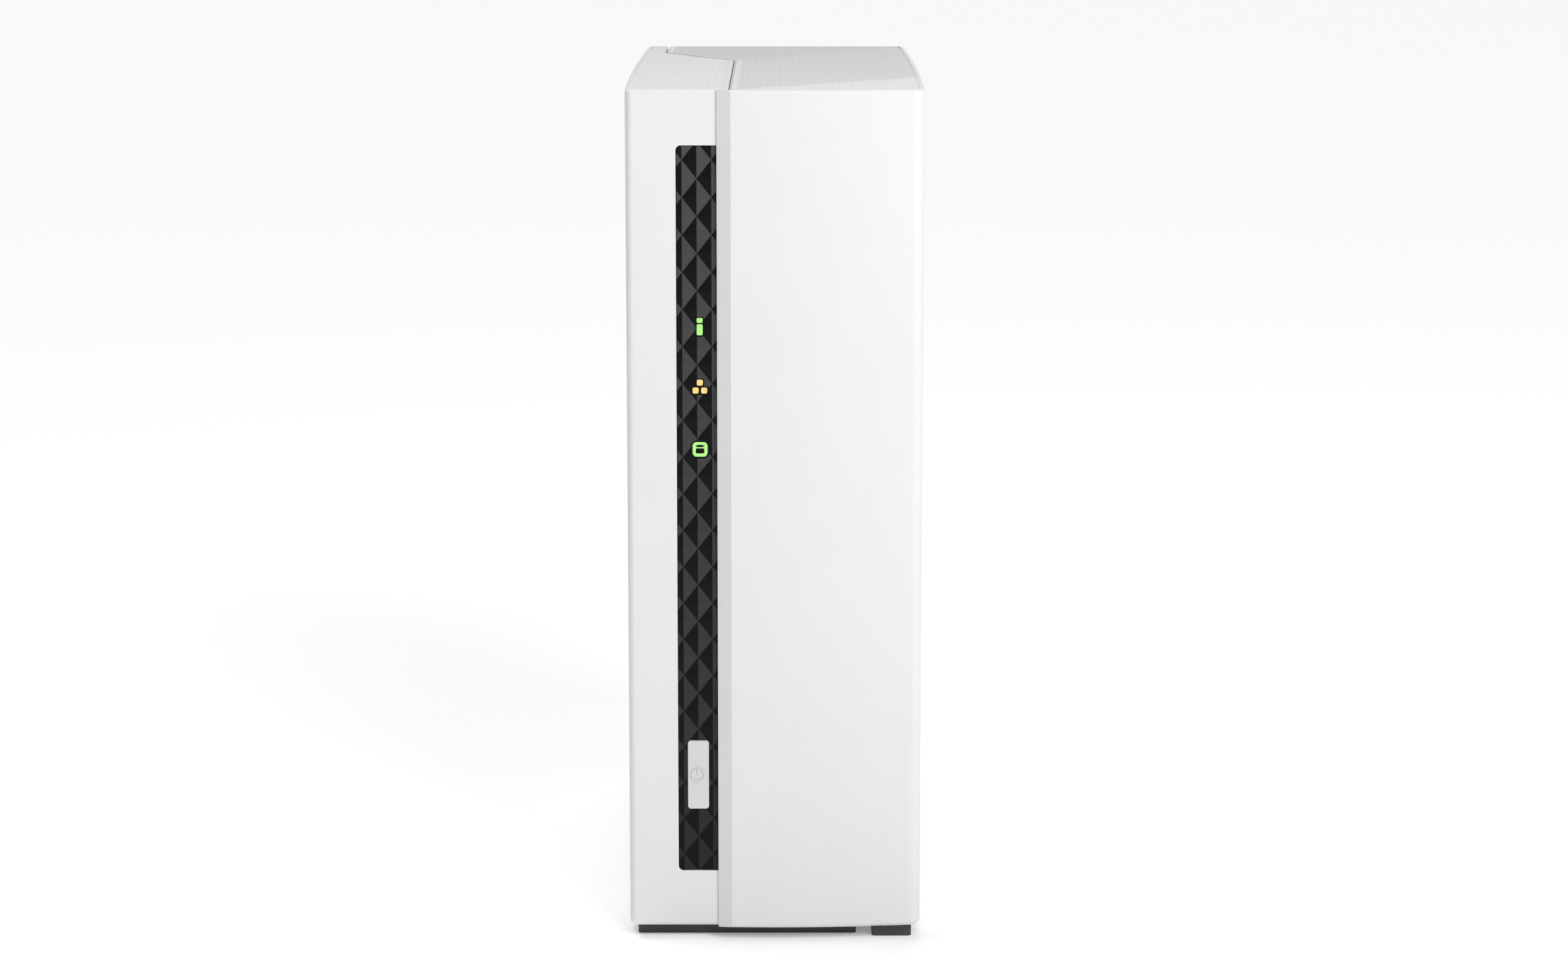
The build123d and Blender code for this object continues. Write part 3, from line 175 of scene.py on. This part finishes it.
def map_range(tree, source, span):
    """source with span's first two values turned into its last two."""
    made = tree.nodes.new("ShaderNodeMapRange")
    for socket, value in zip(("From Min", "From Max", "To Min", "To Max"), span):
        made.inputs[socket].default_value = value
    tree.links.new(source, made.inputs["Value"])
    return made.outputs["Result"]


def remap(material, source, low, high):
    """source's 0.3 to 0.7 turned into low to high."""
    return map_range(material.node_tree, source, (0.3, 0.7, low, high))


def tint(material, source, colour_a, colour_b):
    """A colour between two by source."""
    made = node(material, "ShaderNodeMix", data_type="RGBA")
    made.inputs[6].default_value = (*colour_a, 1)
    made.inputs[7].default_value = (*colour_b, 1)
    link(material, source, made.inputs["Factor"])
    return made.outputs[2]


def bump(material, shader, source, depth, strength=1.0):
    """Relief of depth metres from source."""
    made = node(material, "ShaderNodeBump", Strength=strength, Distance=depth)
    link(material, source, made.inputs["Height"])
    previous = shader.inputs["Normal"].links
    if previous:
        link(material, previous[0].from_socket, made.inputs["Normal"])
    link(material, made.outputs["Normal"], shader.inputs["Normal"])


def moulded(name, colour, roughness, grain=0.25 * MM, depth=0.006 * MM, mottle=0.03, **sockets):
    """Moulded plastic or rubber: fine spark grain, faint mottling and uneven gloss."""
    material, shader = principled(name, colour, roughness, **sockets)
    darker = [c * (1 - mottle) for c in colour]
    lighter = [min(c * (1 + mottle), 1) for c in colour]
    blotch = remap(material, noise(material, 18 * MM, 3), 0, 1)
    link(material, tint(material, blotch, darker, lighter), shader.inputs["Base Color"])
    fine = noise(material, grain, 3)
    link(material, remap(material, fine, roughness - 0.06, roughness + 0.06), shader.inputs["Roughness"])
    bump(material, shader, fine, depth)
    return material


def metal(name, colour, roughness, stretch=(1, 1, 1), depth=0.002 * MM):
    """Sheet or cast metal: fine scratches along one direction and cloudy gloss."""
    material, shader = principled(name, colour, roughness, Metallic=1.0)
    mapping = node(material, "ShaderNodeMapping", Scale=stretch)
    link(material, object_coords(material), mapping.inputs["Vector"])
    lines = node(material, "ShaderNodeTexNoise", Scale=2500.0, Detail=2.0)
    link(material, mapping.outputs["Vector"], lines.inputs["Vector"])
    cloud = noise(material, 12 * MM, 4)
    link(material, remap(material, cloud, roughness - 0.08, roughness + 0.1), shader.inputs["Roughness"])
    darker = [c * 0.88 for c in colour]
    link(material, tint(material, remap(material, cloud, 0, 1), darker, colour), shader.inputs["Base Color"])
    bump(material, shader, lines.outputs["Fac"], depth)
    return material


def circuit(name, mask, copper):
    """Solder mask over traces: narrow bands of a cell pattern show the copper beneath."""
    material, shader = principled(name, mask, 0.35, Coat_Weight=0.4)
    cells = node(material, "ShaderNodeTexVoronoi", feature="DISTANCE_TO_EDGE", distance="MANHATTAN",
                 Scale=210.0)
    link(material, object_coords(material), cells.inputs["Vector"])
    band = node(material, "ShaderNodeMath", operation="LESS_THAN")
    link(material, cells.outputs["Distance"], band.inputs[0])
    band.inputs[1].default_value = 0.09
    link(material, tint(material, band.outputs[0], mask, copper), shader.inputs["Base Color"])
    bump(material, shader, band.outputs[0], 0.03 * MM)
    return material


def lit(name, body, glow):
    """A glowing light guide of a pale body, with faintly uneven glow."""
    material, shader = principled(name, body, 0.35)
    dim = [c * 0.85 for c in glow]
    uneven = tint(material, remap(material, noise(material, 1.2 * MM), 0, 1), dim, glow)
    link(material, uneven, shader.inputs["Emission Color"])
    shader.inputs["Emission Strength"].default_value = 1.0
    return material


WHITE = moulded("white_shell", (0.7, 0.7, 0.7), 0.5, mottle=0.008)
# Three copies of the top relief's white, light, middle and dark: the middle and dark ones are painted shade
# for zones of the cover's top
RELIEF_PAINTED_SHADES = [moulded(f"white_relief_painted_shade_{tone}", (level, level, level), 0.5, mottle=0.008)
           for tone, level in (("light", 0.69), ("middle", 0.60), ("dark", 0.57))]
GREY_BUTTON = moulded("button_grey", (0.6, 0.6, 0.6), 0.45, mottle=0.01)
BLACK_GLOSS = moulded("strip_black", (0.003, 0.003, 0.003), 0.3, grain=0.5 * MM, depth=0.001 * MM,
                      Specular_IOR_Level=0.1)
RUBBER = moulded("foot_rubber", (0.048, 0.048, 0.048), 0.75, grain=0.3 * MM, depth=0.02 * MM, mottle=0.1)
BLACK = moulded("black_plastic", (0.02, 0.02, 0.021), 0.45, mottle=0.1)
CHIP = moulded("chip_resin", (0.028, 0.028, 0.03), 0.55, grain=0.12 * MM, depth=0.004 * MM, mottle=0.12)
IVORY = moulded("ivory_plastic", (0.74, 0.70, 0.6), 0.45, mottle=0.03)
BLUE = moulded("blue_plastic", (0.02, 0.1, 0.5), 0.4, mottle=0.05)
CABLE_WHITE = moulded("flat_cable", (0.75, 0.75, 0.72), 0.4, mottle=0.02)
CABLE_BLACK = moulded("fan_lead", (0.02, 0.02, 0.02), 0.5, mottle=0.1)
SCREW = metal("screw_steel", (0.3, 0.3, 0.31), 0.32)
PLATE = metal("plated_shell", (0.72, 0.72, 0.7), 0.25)
ZINC = metal("zinc_sheet", (0.58, 0.59, 0.6), 0.36, stretch=(1, 0.05, 1), depth=0.004 * MM)
LID_METAL = metal("drive_lid_metal", (0.66, 0.67, 0.68), 0.32, stretch=(1, 0.04, 1), depth=0.004 * MM)
CAST = metal("cast_aluminium", (0.42, 0.43, 0.44), 0.5, depth=0.012 * MM)
FINNED = metal("heat_sink_aluminium", (0.55, 0.56, 0.58), 0.35, stretch=(1, 0.05, 1))
MIRROR = metal("platter", (0.85, 0.85, 0.87), 0.06, depth=0.0004 * MM)
COPPER = metal("coil_copper", (0.72, 0.36, 0.17), 0.35, stretch=(1, 0.1, 1), depth=0.01 * MM)
GREEN_BOARD = circuit("green_board", (0.006, 0.085, 0.03), (0.02, 0.17, 0.06))
BLUE_BOARD = circuit("drive_board_mask", (0.004, 0.03, 0.09), (0.012, 0.075, 0.17))
GREEN_LIGHT = lit("green_light", (0.08, 0.12, 0.06), (0.4, 0.88, 0.2))
AMBER_LIGHT = lit("amber_light", (0.08, 0.1, 0.05), (0.95, 0.66, 0.2))

FINISHES = {
    WHITE: ["left_shell", "right_cover", "rear_panel"],
    BLACK_GLOSS: ["front_strip"],
    GREY_BUTTON: ["power_button"],
    GREEN_LIGHT: ["status_light_guide", "disk_light_guide"],
    AMBER_LIGHT: ["network_light_guide"],
    RUBBER: ["front_foot", "rear_foot", "cover_feet"],
    GREEN_BOARD: ["main_board", "front_board", "riser_board"],
    BLUE_BOARD: ["drive_circuit_board"],
    BLACK: [
        "power_switch", "reset_switch", "riser_slot", "drive_socket", "drive_plug", "power_inlet",
        "fan_frame", "fan_rotor", "buzzer", "clock_cell_holder", "usb_tongue_plain",
    ],
    CHIP: ["processor", "memory_chips", "board_chips", "power_inductors"],
    IVORY: ["cable_headers", "front_leds", "power_switch_plunger", "reset_plunger"],
    BLUE: ["usb_tongue_fast"],
    PLATE: ["usb_socket_shells", "network_socket", "board_capacitors"],
    SCREW: [
        "panel_screws", "cover_screw", "board_screws", "bracket_screws", "drive_screws", "drive_lid_screws",
        "fan_screws", "clock_cell", "drive_axle_posts", "power_inlet_pin",
    ],
    ZINC: ["drive_bracket", "drive_magnet_yoke"],
    LID_METAL: ["drive_lid"],
    CAST: ["drive_base", "drive_hub", "drive_arm"],
    FINNED: ["heat_sink"],
    MIRROR: ["drive_platters"],
    COPPER: ["drive_coil"],
    CABLE_WHITE: ["front_cable"],
    CABLE_BLACK: ["fan_cable"],
}
for finish, names in FINISHES.items():
    for name in names:
        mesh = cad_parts[name].data
        mesh.materials.clear()
        mesh.materials.append(finish)


# ------------------------------------------------------------------ mesh helpers


def mesh_object(name, vertices, faces, materials, slots=None):
    """A new mesh object from vertices in metres; slots gives each face's material."""
    mesh = bpy.data.meshes.new(name)
    mesh.from_pydata(vertices, [], faces)
    for material in materials:
        mesh.materials.append(material)
    if slots:
        mesh.polygons.foreach_set("material_index", slots)
    made = bpy.data.objects.new(name, mesh)
    bpy.context.scene.collection.objects.link(made)
    return made


def prism(name, outline, place, low, high):
    """A closed prism: outline is a list of (u, v) points and place(u, v, height) puts them in space."""
    count = len(outline)
    vertices = [place(u, v, low) for u, v in outline] + [place(u, v, high) for u, v in outline]
    faces = [tuple(range(count))[::-1], tuple(range(count, 2 * count))]
    faces += [(i, (i + 1) % count, count + (i + 1) % count, count + i) for i in range(count)]
    made = mesh_object(name, vertices, faces, [])
    fix_normals(made)
    return made


def fix_normals(made):
    shape = bmesh.new()
    shape.from_mesh(made.data)
    bmesh.ops.recalc_face_normals(shape, faces=shape.faces)
    shape.to_mesh(made.data)
    shape.free()


def boolean(made, operation, tool):
    """Applies an exact boolean with tool to made, and removes tool."""
    modifier = made.modifiers.new("boolean", "BOOLEAN")
    modifier.operation = operation
    modifier.object = tool
    modifier.solver = "EXACT"
    graph = bpy.context.evaluated_depsgraph_get()
    result = bpy.data.meshes.new_from_object(made.evaluated_get(graph))
    made.modifiers.clear()
    made.data = result
    bpy.data.objects.remove(tool)


def rounded(u, v, width, height, radius, steps=6):
    """The outline of a rounded rectangle about (u, v)."""
    points = []
    corners = [(1, 1, 0), (-1, 1, 90), (-1, -1, 180), (1, -1, 270)]
    for side_u, side_v, start in corners:
        for step in range(steps + 1):
            angle = math.radians(start + 90 * step / steps)
            points.append((
                u + side_u * (width / 2 - radius) + radius * math.cos(angle),
                v + side_v * (height / 2 - radius) + radius * math.sin(angle),
            ))
    return points


def lattice(name, span_u, span_v, origin, rhomb, rise, base, place, materials, slot_of):
    """A closed slab whose top is a lattice of rhomb-based pyramids that fill the two spans."""
    half_u, half_v = rhomb
    vertices, faces, slots, index = [], [], [], {}

    def corner(u, v, height):
        key = (round(u / MM, 4), round(v / MM, 4))
        if key not in index:
            index[key] = len(vertices)
            vertices.append(place(u, v, height))
        return index[key]

    def cells(span, start, half):
        """The numbers of the half rhombs that cover span, with one to spare at each end."""
        return range(math.floor((span[0] - start) / half) - 1, math.ceil((span[1] - start) / half) + 2)

    for column in cells(span_u, origin[0], half_u):
        for row in cells(span_v, origin[1], half_v):
            if (column + row) % 2:
                continue
            u, v = origin[0] + column * half_u, origin[1] + row * half_v
            apex = corner(u, v, base + rise)
            ring = [corner(u + du, v + dv, base + RING_LIFT) for du, dv in
                    ((half_u, 0), (0, half_v), (-half_u, 0), (0, -half_v))]
            for side in range(4):
                faces.append((ring[side], ring[(side + 1) % 4], apex))
                slots.append(slot_of(side, u, v))
    slab = mesh_object(name, vertices, faces, materials, slots)
    shape = bmesh.new()
    shape.from_mesh(slab.data)
    rim = [edge for edge in shape.edges if edge.is_boundary]
    drop = Vector(place(0, 0, -SLAB_DEPTH)) - Vector(place(0, 0, 0))
    walls = bmesh.ops.extrude_edge_only(shape, edges=rim)["geom"]
    lowered = [item for item in walls if isinstance(item, bmesh.types.BMVert)]
    bmesh.ops.translate(shape, verts=lowered, vec=drop)
    bmesh.ops.holes_fill(shape, edges=[edge for edge in shape.edges if edge.is_boundary])
    bmesh.ops.recalc_face_normals(shape, faces=shape.faces)
    shape.to_mesh(slab.data)
    shape.free()
    return slab


# ------------------------------------------------------------------ top relief


def on_top(u, v, height):
    return (u, v, height)


def side_x(y):
    """Half the case's width at y: the sides are shallow arcs."""
    return HIGH.x - SIDE_BOW * (y / HIGH.y) ** 2


def front_curve(x, inset):
    """Where the cover's curved front, moved in by inset, lies at x."""
    return LOW.y + FRONT_RADIUS - math.sqrt((FRONT_RADIUS - inset) ** 2 - x * x)


def corner_arc(centre_x, centre_y, radius, start, steps=5):
    """A quarter circle's points from start degrees, counter-clockwise."""
    angles = [math.radians(start + 90 * step / steps) for step in range(steps + 1)]
    return [(centre_x + radius * math.cos(a), centre_y + radius * math.sin(a)) for a in angles]


def seam_edge(side):
    """The relief's edge along the seam, front to back, for the shell on that side."""
    rim = side * (SEAM_RIM if side > 0 else RIM + SEAM_GAP / 2)
    near = side * (SEAM_GAP / 2 + SEAM_CLEAR)
    lean = math.atan2(SEAM_X - SEAM_REAR_X, SEAM_END_Y - SEAM_TURN_Y)
    slide = near * math.tan(lean / 2)
    turn = (SEAM_X + near, SEAM_TURN_Y + slide)
    end = (SEAM_REAR_X + near, SEAM_END_Y + slide)
    return [(SEAM_X + rim, turn[1]), turn, end, (SEAM_REAR_X + rim, end[1])]


def field_outline(side):
    """The recessed field of the left (-1) or right (1) part of the top, counter-clockwise."""
    inset = RIM + CLEAR
    back = HIGH.y - inset
    radius = COVER_FIELD_RADIUS if side > 0 else SHELL_FIELD_RADIUS
    cut_across, cut_along = REAR_FIELD_CUT
    steps = 16
    if side > 0:
        start = SEAM_X + SEAM_RIM
        width = side_x(LOW.y) - inset - radius - SEAM_X - SEAM_RIM
        xs = [start + width * i / steps for i in range(steps + 1)]
        front = [(x, front_curve(x, inset)) for x in xs]
        front_y = front[-1][1]
        arc_x = side_x(front_y) - inset - radius
        corner = corner_arc(arc_x, front_y + radius, radius, 270)
    else:
        front_y = LOW.y + FACE_SETBACK + inset
        front = [(SEAM_X - RIM - SEAM_GAP / 2, front_y)]
        arc_x = side_x(front_y) - inset - radius
        corner = [(-u, v) for u, v in corner_arc(arc_x, front_y + radius, radius, 270)]
    flank = []
    for i in range(1, steps):
        y = front_y + radius + (back - cut_along - front_y - radius) * i / steps
        flank.append((side * (side_x(y) - inset), y))
    rear = [(side * (side_x(back) - inset - cut_across), back)]
    seam = seam_edge(side)
    seam_back = [(seam[3][0], back), seam[3], seam[2], seam[1], seam[0]]
    return front + corner + flank + rear + seam_back


def top_painted_shade_zone(facet, u, v):
    """The cover's top is split into three zones of painted shade, with the same relief in a light, a middle
    and a dark white: darkest at the rear, lightest at the front.
    """
    if v > SEAM_TURN_Y + (u - SEAM_X) * REAR_SHADE_EDGE:
        return 2
    if v < LOW.y + FRONT_SHADE_EDGE_Y + (u - SEAM_X) * FRONT_SHADE_EDGE:
        return 0
    return 1


def top_relief(name, side, body):
    """Fine pyramids over one shell's recessed top field."""
    outline = field_outline(side)
    us = [u for u, _ in outline]
    vs = [v for _, v in outline]
    field_z = TOP_Z - FIELD_DEPTH
    slab = lattice(name, (min(us), max(us)), (min(vs), max(vs)), (SEAM_X, LOW.y), TOP_RHOMB, TOP_RISE,
                   field_z + TOP_LIFT, on_top, RELIEF_PAINTED_SHADES, top_painted_shade_zone if side > 0 else lambda facet, u, v: 0)
    cutter = prism("cutter", outline, on_top, field_z + TOP_CUT_LIFT, TOP_Z)
    boolean(slab, "INTERSECT", cutter)
    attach(slab, body)


top_relief("top_relief_left", -1, "chassis")
top_relief("top_relief_right", 1, "cover")


# ------------------------------------------------------------------ front strip


def on_front(u, v, height):
    """u to the right, v up, height out of the front."""
    return (u, -height, v)


def lined_facets_painted_sheen():
    """The strip's right-hand facets: fine slanting lines, and a greyer black than the left-hand facets that
    is painted sheen, lighter towards the top.
    """
    material = moulded("strip_lined_painted_sheen", (0.03, 0.03, 0.03), 0.38, grain=0.5 * MM, depth=0.001 * MM,
                       Specular_IOR_Level=0.25)
    shader = material.node_tree.nodes["Principled BSDF"]
    height = node(material, "ShaderNodeSeparateXYZ")
    link(material, object_coords(material), height.inputs["Vector"])
    # Painted sheen: the lined facets' black grows lighter from the strip's bottom to its top
    painted_sheen_fade = map_range(material.node_tree, height.outputs["Z"], (*STRIP_Z, 0, 1))
    painted_sheen_colour = tint(material, painted_sheen_fade, (0.006, 0.006, 0.006), (0.05, 0.05, 0.05))
    link(material, painted_sheen_colour, shader.inputs["Base Color"])
    mapping = node(material, "ShaderNodeMapping", Rotation=(0, math.radians(-40), 0))
    link(material, object_coords(material), mapping.inputs["Vector"])
    lines = node(material, "ShaderNodeTexWave", bands_direction="X", Scale=900.0, Distortion=0.4)
    link(material, mapping.outputs["Vector"], lines.inputs["Vector"])
    bump(material, shader, lines.outputs["Fac"], 0.02 * MM, 0.5)
    return material


def strip_facets():
    """The strip's pyramids, with windows for the signs and the button."""
    base = -STRIP_FACE_Y + STRIP_LIFT
    centre = ((STRIP_LEFT_X + STRIP_EDGE_X) / 2, sum(STRIP_Z) / 2)
    size = (STRIP_EDGE_X - STRIP_LEFT_X, STRIP_Z[1] - STRIP_Z[0])
    # The right-facing facets take the lined black with painted sheen, the left-facing ones the plain gloss
    # black
    slab = lattice("front_strip_facets", (STRIP_LEFT_X, STRIP_EDGE_X), STRIP_Z,
                   (STRIP_LATTICE_X, STRIP_LATTICE_Z), STRIP_RHOMB, STRIP_RISE, base, on_front,
                   [BLACK_GLOSS, lined_facets_painted_sheen()], lambda facet, u, v: 1 if facet in (0, 3) else 0)
    outline = rounded(*centre, size[0] - 2 * CLEAR, size[1] - 2 * CLEAR, STRIP_RADIUS)
    cutter = prism("cutter", outline, on_front, base - STRIP_CUT_DROP, base + 2 * STRIP_RISE)
    boolean(slab, "INTERSECT", cutter)
    for window in WINDOWS:
        boolean(slab, "DIFFERENCE", prism("cutter", rounded(*window), on_front, base - MM, base + MM))
    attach(slab, "chassis")


strip_facets()


def disk_sign_inlay():
    """The dark parts of the disk sign: they fill the light guide's two pockets."""
    u, v, half_width, half_height = DISK_OVAL
    angles = [math.tau * i / 24 for i in range(24)]
    oval = [(u + half_width * math.cos(a), v + half_height * math.sin(a)) for a in angles]
    low, high = (-STRIP_FACE_Y - depth for depth in INLAY_DEPTHS)
    inlay = prism("disk_sign_inlay", oval, on_front, low, high)
    block = prism("cutter", rounded(*DISK_BLOCK), on_front, low, high)
    boolean(inlay, "UNION", block)
    inlay.data.materials.clear()
    inlay.data.materials.append(BLACK_GLOSS)
    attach(inlay, "chassis")


disk_sign_inlay()


# ------------------------------------------------------------------ floor, light and camera


def stage_floor():
    """A plain pale floor that glows a little."""
    material, shader = principled("floor_paper", (0.95, 0.95, 0.95), 0.9)
    bump(material, shader, noise(material, 2 * MM, 3), 0.02 * MM)
    shader.inputs["Emission Color"].default_value = (1, 1, 1, 1)
    shader.inputs["Emission Strength"].default_value = FLOOR_GLOW
    corners = [(FLOOR_REACH * x, FLOOR_REACH * y, 0) for x, y in ((-1, -1), (1, -1), (1, 1), (-1, 1))]
    floor = mesh_object("floor", corners, [(0, 1, 2, 3)], [material])
    floor.location.z = LOW.z - FLOOR_DROP


def studio_world():
    """White light from all round that grows to the right, with a white band along the horizon."""
    world = bpy.data.worlds.new("studio")
    world.use_nodes = True
    tree = world.node_tree
    backdrop = tree.nodes["Background"]
    backdrop.inputs["Color"].default_value = (1, 1, 1, 1)
    direction = tree.nodes.new("ShaderNodeSeparateXYZ")
    tree.links.new(tree.nodes.new("ShaderNodeTexCoord").outputs["Generated"], direction.inputs["Vector"])
    brighter = tree.nodes.new("ShaderNodeMath")
    brighter.operation = "MAXIMUM"
    sideways = map_range(tree, direction.outputs["X"], SIDEWAYS_GRADE)
    horizon = map_range(tree, direction.outputs["Z"], HORIZON_GRADE)
    tree.links.new(sideways, brighter.inputs[0])
    tree.links.new(horizon, brighter.inputs[1])
    tree.links.new(brighter.outputs["Value"], backdrop.inputs["Strength"])
    bpy.context.scene.world = world


def key_light():
    """A soft square light in front, above and to the right, that faces the case's middle."""
    data = bpy.data.lights.new("key", "AREA")
    data.shape = "RECTANGLE"
    data.size, data.size_y = KEY_SIZE
    data.energy = KEY_WATTS
    key = bpy.data.objects.new("key", data)
    key.location = KEY_PLACE
    towards = (LOW + HIGH) / 2 - Vector(KEY_PLACE)
    key.rotation_euler = towards.to_track_quat("-Z", "Y").to_euler()
    bpy.context.scene.collection.objects.link(key)


def sky_light():
    """A very soft sun from above."""
    data = bpy.data.lights.new("sky", "SUN")
    data.energy = SUN_STRENGTH
    data.angle = SUN_SPREAD
    sky = bpy.data.objects.new("sky", data)
    sky.rotation_euler = SUN_TURN
    bpy.context.scene.collection.objects.link(sky)


def place_camera():
    data = bpy.data.cameras.new("camera")
    data.lens = LENS_MM
    camera = bpy.data.objects.new("camera", data)
    camera.location = CAMERA_AT
    camera.rotation_euler = (math.pi / 2 - CAMERA_TILT, 0, 0)
    bpy.context.scene.collection.objects.link(camera)
    bpy.context.scene.camera = camera


stage_floor()
studio_world()
bpy.context.scene.view_settings.view_transform = "Standard"
key_light()
sky_light()
place_camera()
